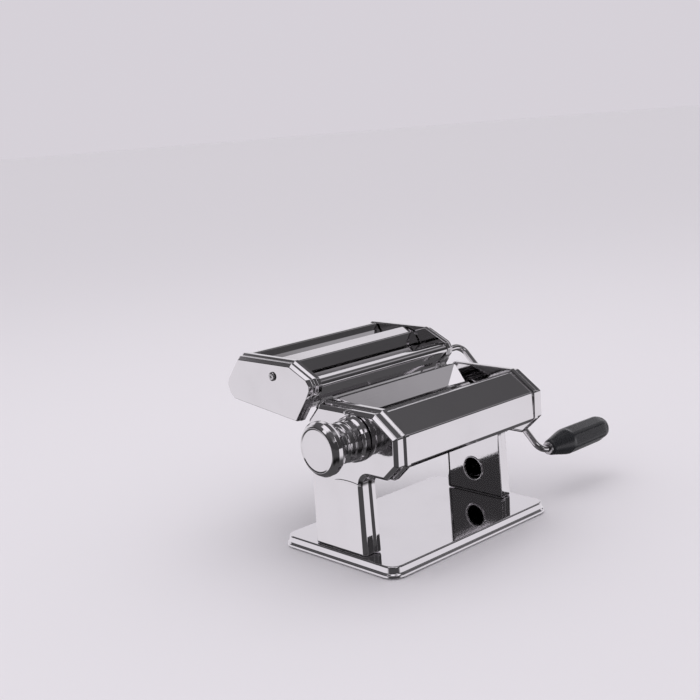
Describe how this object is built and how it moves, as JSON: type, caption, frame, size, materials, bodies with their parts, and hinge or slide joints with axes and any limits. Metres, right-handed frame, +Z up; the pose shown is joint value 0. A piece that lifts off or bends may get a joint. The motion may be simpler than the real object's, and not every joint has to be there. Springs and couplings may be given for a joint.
{
  "type": "pasta roller machine",
  "caption": "Hand-cranked kitchen machine with a dial-set pair of smooth rollers and a slide-on cutter unit, on a pressed chrome base, for rolling and cutting dough sheets.",
  "frame": {"origin": "middle of the footprint, on the surface the feet stand on", "axes": "+X along the rollers towards the crank side, -Y towards the front cover, +Z up"},
  "size_m": [0.3424, 0.2099, 0.157],
  "materials": {
    "base_chrome": "mirror-polished chrome-plated steel sheet",
    "housing_chrome": "mirror-polished chrome-plated steel pressing",
    "plate_chrome": "chrome-plated steel sheet",
    "cover_chrome": "polished chrome-plated steel sheet, faint rolling grain",
    "inner_steel": "plain steel, finely brushed",
    "roller_steel": "turned and anodised alloy, satin",
    "cutter_steel": "turned alloy with fine grooves, satin",
    "gear_steel": "stamped steel, lightly oiled",
    "bush_brass": "turned brass, dull",
    "fastener_steel": "zinc-plated steel",
    "dial_chrome": "turned and polished chrome plating",
    "crank_chrome": "polished chrome-plated steel rod",
    "grip_black": "black moulded plastic, satin",
    "rubber_feet": "soft black rubber"
  },
  "bodies": {
    "frame": {"base_plate": "base_chrome", "foot_1": "rubber_feet", "foot_2": "rubber_feet", "foot_3": "rubber_feet", "foot_4": "rubber_feet", "side_shell_left": "housing_chrome", "side_shell_right": "housing_chrome", "bearing_plate_left": "plate_chrome", "bearing_plate_right": "plate_chrome", "front_cover": "cover_chrome", "rear_cover": "cover_chrome", "feed_plate": "cover_chrome", "front_scraper": "inner_steel", "rear_scraper": "inner_steel", "tie_rod_front": "inner_steel", "tie_rod_rear": "inner_steel", "dial_ring": "dial_chrome", "index_pin": "fastener_steel", "drive_socket_ring": "dial_chrome", "slide_rail_left": "inner_steel", "slide_rail_right": "inner_steel"},
    "fixed_roller_body": {"fixed_roller": "roller_steel", "fixed_gear": "gear_steel"},
    "roller_carriage": {"roller_bush_left": "bush_brass", "roller_bush_right": "bush_brass"},
    "adjustable_roller_body": {"adjustable_roller": "roller_steel", "adjustable_gear": "gear_steel"},
    "dial_spindle_body": {"dial_spindle": "fastener_steel", "dial_spring": "fastener_steel"},
    "dial_knob_body": {"dial_knob": "dial_chrome"},
    "cutter_unit": {"cutter_cap_left": "housing_chrome", "cutter_cap_right": "housing_chrome", "cutter_plate_left": "plate_chrome", "cutter_plate_right": "plate_chrome", "cutter_screw_left": "fastener_steel", "cutter_screw_right": "fastener_steel", "cutter_front_cover": "cover_chrome", "cutter_ridge_cover": "cover_chrome", "cutter_rear_cover": "cover_chrome", "cutter_tie_rod": "inner_steel", "narrow_comb": "inner_steel", "wide_comb": "inner_steel", "narrow_socket_ring": "dial_chrome", "wide_socket_ring": "dial_chrome", "cutter_hook_left": "inner_steel", "cutter_hook_right": "inner_steel"},
    "narrow_front": {"narrow_front_cutter": "cutter_steel", "narrow_front_gear": "gear_steel"},
    "narrow_back": {"narrow_back_cutter": "cutter_steel", "narrow_back_gear": "gear_steel"},
    "wide_front": {"wide_front_cutter": "cutter_steel", "wide_front_gear": "gear_steel"},
    "wide_back": {"wide_back_cutter": "cutter_steel", "wide_back_gear": "gear_steel"},
    "crank": {"crank_rod": "crank_chrome", "grip_washer": "fastener_steel"},
    "grip": {"crank_grip": "grip_black"}
  },
  "joints": [
    {"name": "cutter_slide", "type": "slide", "parent": "frame", "child": "cutter_unit", "axis": [0, -0.6787, 0.7344], "range_m": [0, 0.045]},
    {"name": "crank_turn", "type": "hinge", "parent": "cutter_unit", "child": "narrow_front", "pos_m": [-0.0428, 0.0136, 0.1314], "axis": [1, 0, 0], "continuous": true},
    {"name": "crank_pull", "type": "slide", "parent": "narrow_front", "child": "crank", "axis": [1, 0, 0], "range_m": [0, 0.03]},
    {"name": "grip_spin", "type": "hinge", "parent": "crank", "child": "grip", "pos_m": [0.1272, -0.07408, 0.04372], "axis": [1, 0, 0], "continuous": true},
    {"name": "narrow_back_spin", "type": "hinge", "parent": "cutter_unit", "child": "narrow_back", "pos_m": [-0.0428, 0.0325, 0.1314], "axis": [1, 0, 0], "continuous": true},
    {"name": "wide_front_spin", "type": "hinge", "parent": "cutter_unit", "child": "wide_front", "pos_m": [-0.0428, 0.0546, 0.1314], "axis": [1, 0, 0], "continuous": true},
    {"name": "wide_back_spin", "type": "hinge", "parent": "cutter_unit", "child": "wide_back", "pos_m": [-0.0428, 0.0735, 0.1314], "axis": [1, 0, 0], "continuous": true},
    {"name": "fixed_roller_spin", "type": "hinge", "parent": "frame", "child": "fixed_roller_body", "pos_m": [-0.0428, -0.03, 0.1006], "axis": [1, 0, 0], "continuous": true},
    {"name": "dial_turn", "type": "hinge", "parent": "frame", "child": "dial_spindle_body", "pos_m": [-0.1428, -0.059, 0.1055], "axis": [1, 0, 0], "range_deg": [0, 280]},
    {"name": "dial_pull", "type": "slide", "parent": "dial_spindle_body", "child": "dial_knob_body", "axis": [-1, 0, 0], "range_m": [0, 0.005], "stiffness_N_per_m": 600, "springref_m": -0.004},
    {"name": "roller_gap", "type": "slide", "parent": "frame", "child": "roller_carriage", "axis": [0, 1, 0], "range_m": [0, 0.0024]},
    {"name": "adjustable_roller_spin", "type": "hinge", "parent": "roller_carriage", "child": "adjustable_roller_body", "pos_m": [-0.0428, -0.059, 0.1055], "axis": [1, 0, 0], "continuous": true}
  ],
  "couplings": [
    {"joint": "narrow_back_spin", "follows": "crank_turn", "ratio": -1},
    {"joint": "wide_back_spin", "follows": "wide_front_spin", "ratio": -1},
    {"joint": "adjustable_roller_spin", "follows": "fixed_roller_spin", "ratio": -1},
    {"joint": "roller_gap", "follows": "dial_turn", "m_per_rad": 0.0004911}
  ]
}
